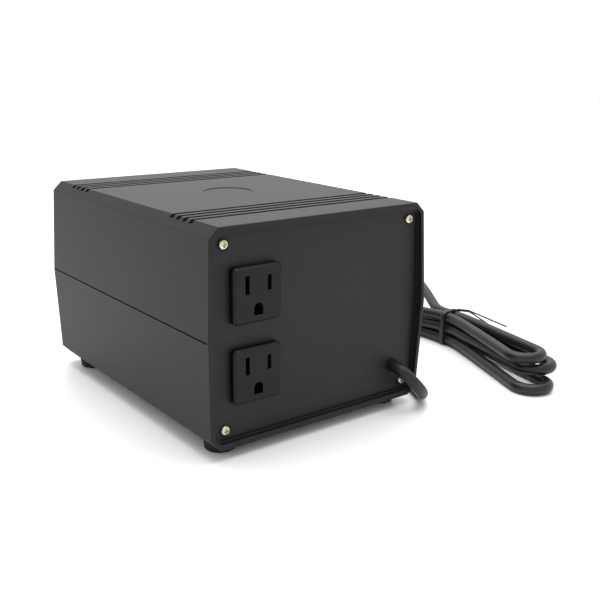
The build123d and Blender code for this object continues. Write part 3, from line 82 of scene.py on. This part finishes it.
# Moulded plastic or rubber: a cloudy tone over the whole piece, and the tool's grain as a bump
def mouldedFinish(look):
    material, tree, place = startFinish(look["name"])
    cloud = addNode(tree, "ShaderNodeTexNoise",
                    {"Scale": perMetre / look["cloudMm"], "Detail": 3.0, "Roughness": 0.55},
                    {"Vector": place})
    grain = addNode(tree, "ShaderNodeTexNoise",
                    {"Scale": perMetre / look["grainMm"], "Detail": 2.0, "Roughness": 0.6},
                    {"Vector": place})
    tone = addNode(tree, "ShaderNodeValToRGB", links={"Fac": cloud.outputs["Fac"]})
    tone.color_ramp.elements[0].position = 0.3
    tone.color_ramp.elements[1].position = 0.7
    tone.color_ramp.elements[0].color = linear(look["dark"])
    tone.color_ramp.elements[1].color = linear(look["light"])
    gloss = addNode(tree, "ShaderNodeMapRange",
                    {"To Min": look["roughness"] - grainGloss, "To Max": look["roughness"] + grainGloss},
                    {"Value": grain.outputs["Fac"]})
    bump = addNode(tree, "ShaderNodeBump",
                   {"Strength": look["bump"], "Distance": look["grainMm"] * mm * grainDepth},
                   {"Height": grain.outputs["Fac"]})
    shader = addNode(tree, "ShaderNodeBsdfPrincipled",
                     {"IOR": look["ior"], "Specular IOR Level": look["level"]},
                     {"Base Color": tone.outputs["Color"], "Roughness": gloss.outputs["Result"],
                      "Normal": bump.outputs["Normal"]})
    endFinish(tree, shader)
    return material


# Metal: brushed, plated or stamped, with fine streaks along one axis
def metalFinish(look):
    material, tree, place = startFinish(look["name"])
    stretch = addNode(tree, "ShaderNodeMapping", {"Scale": look["streaks"]}, {"Vector": place})
    streak = addNode(tree, "ShaderNodeTexNoise", {"Scale": perMetre / look["streakMm"], "Detail": 3.0},
                     {"Vector": stretch.outputs["Vector"]})
    tone = addNode(tree, "ShaderNodeValToRGB", links={"Fac": streak.outputs["Fac"]})
    tone.color_ramp.elements[0].color = linear(look["dark"])
    tone.color_ramp.elements[1].color = linear(look["light"])
    gloss = addNode(tree, "ShaderNodeMapRange",
                    {"To Min": look["roughness"] - streakGloss[0],
                     "To Max": look["roughness"] + streakGloss[1]},
                    {"Value": streak.outputs["Fac"]})
    bump = addNode(tree, "ShaderNodeBump",
                   {"Strength": 0.15, "Distance": look["streakMm"] * mm * streakDepth},
                   {"Height": streak.outputs["Fac"]})
    shader = addNode(tree, "ShaderNodeBsdfPrincipled", {"Metallic": 1.0},
                     {"Base Color": tone.outputs["Color"], "Roughness": gloss.outputs["Result"],
                      "Normal": bump.outputs["Normal"]})
    endFinish(tree, shader)
    return material


# Stacked or wound layers: light and dark bands across one axis, each bandMm wide
def layeredFinish(look):
    material, tree, place = startFinish(look["name"])
    band = addNode(tree, "ShaderNodeTexWave",
                   {"wave_type": "BANDS", "bands_direction": look["axis"],
                    "Scale": perMetre / look["bandMm"] / bandsPerUnit,
                    "Distortion": look["wander"], "Detail": 1.0},
                   {"Vector": place})
    tone = addNode(tree, "ShaderNodeValToRGB", links={"Fac": band.outputs["Fac"]})
    tone.color_ramp.elements[0].color = linear(look["dark"])
    tone.color_ramp.elements[1].color = linear(look["light"])
    bump = addNode(tree, "ShaderNodeBump",
                   {"Strength": 0.6, "Distance": look["bandMm"] * mm * layerDepth},
                   {"Height": band.outputs["Fac"]})
    shader = addNode(tree, "ShaderNodeBsdfPrincipled",
                     {"Metallic": look["metallic"], "Roughness": look["roughness"]},
                     {"Base Color": tone.outputs["Color"], "Normal": bump.outputs["Normal"]})
    endFinish(tree, shader)
    return material


# Clear moulded or blown parts of the lamp
def lampFinish(look):
    material, tree, place = startFinish(look["name"])
    flow = addNode(tree, "ShaderNodeTexNoise", {"Scale": perMetre / look["flowMm"], "Detail": 2.0},
                   {"Vector": place})
    tone = addNode(tree, "ShaderNodeValToRGB", links={"Fac": flow.outputs["Fac"]})
    tone.color_ramp.elements[0].color = linear(look["dark"])
    tone.color_ramp.elements[1].color = linear(look["light"])
    shader = addNode(tree, "ShaderNodeBsdfPrincipled",
                     {"Transmission Weight": look["clear"], "IOR": look["ior"], "Roughness": 0.12},
                     {"Base Color": tone.outputs["Color"]})
    endFinish(tree, shader)
    return material


# Spark-eroded ABS: an even satin that lifts to grey under a soft light
caseAbs = mouldedFinish({"name": "sparkTexturedAbs", "dark": "#111112", "light": "#161617",
                         "cloudMm": 60, "grainMm": 0.7, "bump": 0.35, "roughness": 0.5, "ior": 1.53,
                         "level": 0.24})
# The same ABS from a finer tool, a little darker
panelAbs = mouldedFinish({"name": "fineTexturedAbs", "dark": "#0e0e0f", "light": "#131314",
                          "cloudMm": 50, "grainMm": 0.5, "bump": 0.25, "roughness": 0.55,
                          "ior": 1.53, "level": 0.3})
# Outlets and switches in smooth moulded nylon, with a soft sheen on their bevels
outletNylon = mouldedFinish({"name": "smoothOutletNylon", "dark": "#070708", "light": "#0b0b0c",
                             "cloudMm": 20, "grainMm": 0.4, "bump": 0.12, "roughness": 0.4,
                             "ior": 1.52, "level": 0.2})
# Moulded rubber: dull and even
footRubber = mouldedFinish({"name": "mouldedFootRubber", "dark": "#0a0a0a", "light": "#101010",
                            "cloudMm": 12, "grainMm": 0.5, "bump": 0.3, "roughness": 0.7,
                            "ior": 1.5, "level": 0.3})
# Extruded PVC: smooth and slightly waxy, with a soft light along its top
cordPvc = mouldedFinish({"name": "extrudedCordPvc", "dark": "#0e0e0f", "light": "#151516",
                         "cloudMm": 18, "grainMm": 1.2, "bump": 0.1, "roughness": 0.4, "ior": 1.52,
                         "level": 0.34})
# Moulded PVC: greyer and duller than the cord, from its tool's grain
plugPvc = mouldedFinish({"name": "mouldedPlugPvc", "dark": "#121213", "light": "#181819",
                         "cloudMm": 15, "grainMm": 0.5, "bump": 0.25, "roughness": 0.5, "ior": 1.52,
                         "level": 0.35})
# The tie's coated wire: a thin smooth skin that takes a small light
tieCoating = mouldedFinish({"name": "coatedTieWire", "dark": "#0c0c0d", "light": "#161617",
                            "cloudMm": 4, "grainMm": 0.4, "bump": 0.15, "roughness": 0.38,
                            "ior": 1.5, "level": 0.4})
# Natural nylon: cream and half glossy
bobbinNylon = mouldedFinish({"name": "naturalNylon", "dark": "#cfc8b0", "light": "#ddd7c2",
                             "cloudMm": 15, "grainMm": 0.6, "bump": 0.15, "roughness": 0.45,
                             "ior": 1.53, "level": 0.5})
# Red ABS: glossy, so that the button shows
buttonRed = mouldedFinish({"name": "redButtonAbs", "dark": "#a01212", "light": "#b31a1a",
                           "cloudMm": 6, "grainMm": 0.4, "bump": 0.1, "roughness": 0.35,
                           "ior": 1.53, "level": 0.5})
# Yellow zinc on the screws: a pale brass colour
screwZinc = metalFinish({"name": "yellowZincPlate", "dark": "#a8a080", "light": "#e8e2c6",
                         "streakMm": 1.5, "streaks": (1, 1, 1), "roughness": 0.32})
# Bright zinc on pressed steel: a cool grey with fine streaks
bracketZinc = metalFinish({"name": "brightZincPlate", "dark": "#9a9a98", "light": "#c8c8c4",
                           "streakMm": 2.0, "streaks": (0.1, 1, 1), "roughness": 0.35})
# Stamped brass: warm yellow, streaked from its rolling
contactBrass = metalFinish({"name": "stampedBrass", "dark": "#a98038", "light": "#cfa659",
                            "streakMm": 1.0, "streaks": (1, 0.1, 1), "roughness": 0.3})
# Nickel on turned pins: a smooth, bright, slightly warm grey
pinNickel = metalFinish({"name": "nickelPlate", "dark": "#b4b0a6", "light": "#d6d3ca",
                         "streakMm": 1.0, "streaks": (1, 0.15, 1), "roughness": 0.2})
# Varnished laminations, half a millimetre each, drawn at one so that they show
coreSteel = layeredFinish({"name": "varnishedLaminations", "dark": "#1b1b1d", "light": "#3a3a3e",
                           "bandMm": 1.0, "axis": "Y", "wander": 0.2, "metallic": 0.6,
                           "roughness": 0.4})
# Enamelled copper wire: glossy red-brown turns, side by side
windingWire = layeredFinish({"name": "enamelledCopperWire", "dark": "#4a1d0c", "light": "#a5562b",
                             "bandMm": 0.8, "axis": "Z", "wander": 0.1, "metallic": 0.9,
                             "roughness": 0.3})
# Polyester tape: yellow, its laps showing as wide soft bands
windingTape = layeredFinish({"name": "polyesterTape", "dark": "#b98f22", "light": "#d8b040",
                             "bandMm": 12, "axis": "Z", "wander": 0.3, "metallic": 0.0,
                             "roughness": 0.3})
# Amber acrylic: half clear and deep orange
lampLens = lampFinish({"name": "amberLampLens", "dark": "#c85a10", "light": "#e0781c", "flowMm": 5,
                       "clear": 0.5, "ior": 1.49})
# The bulb's blown glass: clear and nearly white
lampTube = lampFinish({"name": "clearLampTube", "dark": "#d8d4cc", "light": "#eeeae2", "flowMm": 5,
                       "clear": 0.7, "ior": 1.47})
# PVC on the wires inside: plain, bright and a little glossy
wireColours = {"Brown": ("#4a2a14", "#5a351b"), "Blue": ("#1c4f9c", "#2560b4"),
               "Green": ("#3f8a24", "#5aa634"), "Red": ("#a51b17", "#bd2722"),
               "White": ("#d2d2ce", "#e4e4e0")}
wirePvc = {
    tint: mouldedFinish({"name": f"wirePvc{tint}", "dark": dark, "light": light, "cloudMm": 10,
                         "grainMm": 0.6, "bump": 0.1, "roughness": 0.4, "ior": 1.52, "level": 0.5})
    for tint, (dark, light) in wireColours.items()
}
finishes = {
    caseAbs: ["upper_shell", "lower_shell"],
    panelAbs: ["outlet_panel", "switch_panel"],
    outletNylon: ["outlet_body_upper", "outlet_body_lower", "outlet_cover_upper", "outlet_cover_lower",
                  "switch_frame", "power_rocker", "breaker_body"],
    screwZinc: ["panel_screws", "shell_screws", "short_screws", "clamp_screws", "terminal_screws"],
    bracketZinc: ["core_bolts", "core_nuts", "core_brackets", "breaker_nut", "lamp_clip"],
    footRubber: ["rubber_feet", "cord_bushing"],
    cordPvc: ["cord_entry"],
    plugPvc: ["plug_body"],
    pinNickel: ["plug_pins", "plug_earth_clips", "spade_tabs", "earth_lug"],
    contactBrass: ["line_contact_upper", "line_contact_lower", "neutral_contact_upper",
                   "neutral_contact_lower", "ground_contact_upper", "ground_contact_lower",
                   "terminal_sleeves"],
    coreSteel: ["core_e", "core_i"],
    bobbinNylon: ["bobbin", "terminal_block", "cord_clamp", "crimps"],
    windingWire: ["winding_common", "winding_series"],
    windingTape: ["winding_tape", "thermal_cutout"],
    buttonRed: ["reset_button"],
    lampLens: ["lamp_lens"],
    lampTube: ["lamp_bulb"],
    wirePvc["Brown"]: ["wires_brown"],
    wirePvc["Blue"]: ["wires_blue"],
    wirePvc["Green"]: ["wires_green"],
    wirePvc["Red"]: ["wires_red", "winding_leads"],
    wirePvc["White"]: ["lamp_leads"],
}
for finish, names in finishes.items():
    for name in names:
        nodes[name].data.materials.clear()
        nodes[name].data.materials.append(finish)
print("finishes are on", sum(len(names) for names in finishes.values()), "nodes")


# Camera: measured from the outlets' slots and the case's edges
camera = {"place": (-0.26302, -0.40783, 0.18792), "yaw": 37.77, "pitch": -15.76, "roll": 0.79,
          "focalPx": 850.5, "imagePx": 600, "sensorMm": 36}
yaw, pitch, roll = (math.radians(camera[key]) for key in ("yaw", "pitch", "roll"))
ahead = Vector((math.sin(yaw) * math.cos(pitch), math.cos(yaw) * math.cos(pitch), math.sin(pitch)))
flatRight = ahead.cross(Vector((0, 0, 1))).normalized()
flatUp = flatRight.cross(ahead)
cameraRight = flatRight * math.cos(roll) + flatUp * math.sin(roll)
cameraUp = flatUp * math.cos(roll) - flatRight * math.sin(roll)
bpy.ops.object.select_all(action="DESELECT")
bpy.ops.object.camera_add(location=camera["place"])
eye = bpy.context.object
eye.name = "photoCamera"
eye.data.sensor_width = camera["sensorMm"]
eye.data.lens = camera["focalPx"] / camera["imagePx"] * camera["sensorMm"]
turn = Matrix((cameraRight, cameraUp, -ahead)).transposed()
eye.rotation_euler = turn.to_euler()
eye.data.clip_start = 0.01
eye.data.clip_end = 50
bpy.context.scene.camera = eye
print("camera is set")


# A round tube along a curve, given in millimetres, with its steps along and round
def tubePiece(name, places, radius, smooth, cyclic=False):
    bpy.ops.object.select_all(action="DESELECT")
    bpy.ops.curve.primitive_nurbs_path_add()
    piece = bpy.context.object
    piece.name = name
    piece.location = (0, 0, 0)
    piece.data.splines.clear()
    strand = piece.data.splines.new("NURBS")
    strand.points.add(len(places) - 1)
    for point, place in zip(strand.points, places):
        point.co = (place[0] * mm, place[1] * mm, place[2] * mm, 1)
    strand.order_u = 3
    strand.use_endpoint_u = not cyclic
    strand.use_cyclic_u = cyclic
    strand.resolution_u, piece.data.bevel_resolution = smooth
    piece.data.dimensions = "3D"
    piece.data.bevel_depth = radius * mm
    piece.data.use_fill_caps = True
    return piece


# The lead: out of the panel, along the floor to the hank, round its five folds, and out to the plug
lead = {
    "diameter": 6.8, "length": 1.61,
    "route": [(51.0, -86.3, 25.1), (51.0, -91.5, 25.1), (52.5, -97.0, 22.0), (57.0, -100.0, 16.5),
              (63.0, -99.0, 10.5), (69.5, -94.0, 5.8), (76.0, -85.0, 3.4), (81.5, -70.0, 3.4),
              (84.0, -52.0, 3.4), (84.5, -20.0, 3.4), (87.5, 10.0, 3.4), (98.5, 37.0, 3.4),
              (121.0, 48.0, 3.4), (140.5, 38.5, 3.4), (150.5, 22.0, 3.4), (156.0, 8.0, 3.9),
              (158.55, -2.5, 4.65)],
    "end": [(166.05, -13.0, 19.65), (171.8, -3.0, 21.0), (182.0, 15.0, 25.0), (195.0, 37.0, 27.0),
            (205.5, 59.0, 23.0), (212.0, 80.0, 17.2), (216.0, 96.0, 17.2)],
    "hankX": 162.3, "tieY": -28.0, "waistHalf": 10.0, "gap": 0.7, "waistLift": 1.25,
    "nearTurns": [(138.4, -115.3, 10.5), (151.0, -107.0, 11.0), (144.4, -104.4, 10.5)],
    "farTurns": [(170.0, 74.0, 17.5), (172.0, 80.0, 16.5)],
    "leanShare": 1.15, "turnStep": 30, "smooth": (8, 6),
}


def layerHeight(layer):
    return lead["diameter"] / 2 + layer * (lead["diameter"] + lead["gap"])


def strandPlace(side):
    return lead["hankX"] + side * (lead["diameter"] + lead["gap"]) / 2


# How far out points stand, one step apart, for their quadratic curve to have the given radius
def polygonRadius(radius, step):
    return radius / (0.75 + 0.25 * math.cos(step))


# One fold: out from the waist, round the turn and back, its two sides spreading like a drop
def foldPoints(start, way, x, y, z, radius, end):
    leanIn = lead["leanShare"] * math.atan2(way * (x + way * radius - start[0]), abs(y - start[1]))
    leanOut = lead["leanShare"] * math.atan2(way * (end[0] - x + way * radius), abs(y - end[1]))
    first = (math.pi if way < 0 else 0.0) - leanIn
    sweep = math.pi + leanIn + leanOut
    steps = round(math.degrees(sweep) / lead["turnStep"])
    step = sweep / steps
    outer = polygonRadius(radius, step)
    ease = outer * math.sin(step / 2)
    points = [(x + radius * math.cos(first) + ease * math.sin(first),
               y + radius * math.sin(first) - ease * math.cos(first), z)]
    for i in range(steps):
        angle = first + step * (i + 0.5)
        points.append((x + outer * math.cos(angle), y + outer * math.sin(angle), z))
    last = first + sweep
    return points + [(x + radius * math.cos(last) - ease * math.sin(last),
                      y + radius * math.sin(last) + ease * math.cos(last), z)]


lowY, highY = lead["tieY"] - lead["waistHalf"], lead["tieY"] + lead["waistHalf"]
hankPoints = []
for layer, (x, y, radius) in enumerate(lead["nearTurns"]):
    z, waistZ = layerHeight(layer), layerHeight(layer) + lead["waistLift"]
    ends = (strandPlace(-1), lowY, waistZ), (strandPlace(1), lowY, waistZ)
    hankPoints += [(strandPlace(-1), lead["tieY"], waistZ), ends[0]]
    hankPoints += foldPoints(ends[0], -1, x, y, z, radius, ends[1])
    hankPoints += [ends[1], (strandPlace(1), lead["tieY"], waistZ)]
    if layer < len(lead["farTurns"]):
        x, y, radius = lead["farTurns"][layer]
        nextZ = layerHeight(layer + 1) + lead["waistLift"]
        ends = (strandPlace(1), highY, waistZ), (strandPlace(-1), highY, nextZ)
        hankPoints += [ends[0]] + foldPoints(ends[0], 1, x, y, z, radius, ends[1]) + [ends[1]]

leadPoints = lead["route"] + hankPoints + lead["end"]
mainsLead = tubePiece("mainsLead", leadPoints, lead["diameter"] / 2, lead["smooth"])
mainsLead.data.materials.append(cordPvc)
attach(mainsLead, "base")
print("lead has", len(leadPoints), "points")


# Tie: a flat coated wire round the bundle, twisted at its side
tie = {"width": 3.2, "thickness": 0.8, "play": 0.35, "twistStart": (169.3, -28.0, 22.9),
       "twistWay": (0.1, -0.95, 0.12), "twistLength": 10.0, "twistTurns": 3, "wireRadius": 0.55,
       "ends": [(0.1, -0.96, -0.32), (0.25, -0.93, -0.2)], "endLength": 28.0,
       "endShares": (0.2, 0.6, 1.0), "stepsPerTurn": 8, "cornerSteps": 4, "smooth": (6, 3)}

# The band runs round the six strands, level with their outsides
reach = lead["diameter"] / 2 + tie["play"] + tie["thickness"] / 2
left, right = strandPlace(-1), strandPlace(1)
low, high = layerHeight(0) + lead["waistLift"], layerHeight(2) + lead["waistLift"]
cornerStep = math.pi / 2 / tie["cornerSteps"]
cornerRadius = polygonRadius(reach, cornerStep)
bandPoints = []
for centreX, centreZ, firstAngle in ((right, low, -90), (right, high, 0),
                                     (left, high, 90), (left, low, 180)):
    for i in range(tie["cornerSteps"]):
        angle = math.radians(firstAngle) + cornerStep * (i + 0.5)
        bandPoints.append((centreX + cornerRadius * math.cos(angle), lead["tieY"],
                           centreZ + cornerRadius * math.sin(angle)))
band = tubePiece("tieBand", bandPoints, 0, tie["smooth"], True)
band.data.extrude = tie["width"] / 2 * mm
# Turned so that its width lies along the cords
for point in band.data.splines[0].points:
    point.tilt = math.pi / 2
bpy.ops.object.convert(target="MESH")
thicken = band.modifiers.new("thickness", "SOLIDIFY")
thicken.thickness = tie["thickness"] * mm
thicken.offset = 0
bpy.ops.object.modifier_apply(modifier="thickness")

twistWay = Vector(tie["twistWay"]).normalized()
across = twistWay.cross(Vector((0, 0, 1))).normalized()
over = across.cross(twistWay)
tieParts = [band]
for strandIndex, endWay in enumerate(tie["ends"]):
    places = []
    steps = tie["twistTurns"] * tie["stepsPerTurn"]
    for i in range(steps + 1):
        angle = math.tau * tie["twistTurns"] * i / steps + math.pi * strandIndex
        centre = Vector(tie["twistStart"]) + twistWay * (tie["twistLength"] * i / steps)
        places.append(centre + (across * math.cos(angle) + over * math.sin(angle)) * tie["wireRadius"])
    tip = places[-1]
    way = Vector(endWay).normalized()
    places += [tip + way * tie["endLength"] * share for share in tie["endShares"]]
    wire = tubePiece(f"tieWire{strandIndex}", places, tie["wireRadius"], tie["smooth"])
    bpy.ops.object.convert(target="MESH")
    tieParts.append(wire)
bpy.ops.object.select_all(action="DESELECT")
for part in tieParts:
    part.select_set(True)
bpy.context.view_layer.objects.active = band
bpy.ops.object.join()
hankTie = band
hankTie.name = "hankTie"
hankTie.data.materials.clear()
hankTie.data.materials.append(tieCoating)
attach(hankTie, "base")
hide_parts("hank_tie")
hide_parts("cord_lead", "cord_hank", "cord_tail")
print("lead, hank and tie are made")


# A seamless pale sweep for a floor, and soft boxes round it
studio = {
    "world": 1.08, "worldTone": "#ffffff",
    "floor": {"size": 30, "dark": "#f2f2f2", "light": "#f6f6f6", "roughness": 0.35},
    "boxes": {
        "overhead": {"place": (0.1, 0.15, 1.3), "aim": (0.0, 0.0, 0.0), "size": 1.4, "power": 20},
        "backBank": {"place": (0.7, 1.1, 0.9), "aim": (0.0, 0.0, 0.1), "size": 1.0, "power": 2},
    },
}
bpy.ops.object.select_all(action="DESELECT")
bpy.ops.mesh.primitive_plane_add(size=studio["floor"]["size"])
floor = bpy.context.object
floor.name = "studioFloor"
floorMaterial, floorTree, floorPlace = startFinish("paleStudioSweep")
sweepTone = addNode(floorTree, "ShaderNodeTexNoise", {"Scale": 3.0, "Detail": 2.0}, {"Vector": floorPlace})
sweepRamp = addNode(floorTree, "ShaderNodeValToRGB", links={"Fac": sweepTone.outputs["Fac"]})
sweepRamp.color_ramp.elements[0].color = linear(studio["floor"]["dark"])
sweepRamp.color_ramp.elements[1].color = linear(studio["floor"]["light"])
sweepShader = addNode(floorTree, "ShaderNodeBsdfPrincipled", {"Roughness": studio["floor"]["roughness"]},
                      {"Base Color": sweepRamp.outputs["Color"]})
endFinish(floorTree, sweepShader)
floor.data.materials.append(floorMaterial)
for name, box in studio["boxes"].items():
    bpy.ops.object.light_add(type="AREA", location=box["place"])
    lamp = bpy.context.object
    lamp.name = name
    lamp.data.size = box["size"]
    lamp.data.energy = box["power"]
    aim = Vector(box["aim"]) - Vector(box["place"])
    lamp.rotation_euler = aim.to_track_quat("-Z", "Y").to_euler()
world = bpy.data.worlds.new("paleRoom")
world.use_nodes = True
backdrop = world.node_tree.nodes["Background"]
backdrop.inputs["Color"].default_value = linear(studio["worldTone"])
backdrop.inputs["Strength"].default_value = studio["world"]
bpy.context.scene.world = world
bpy.context.scene.view_settings.view_transform = "Standard"
print("studio is lit")
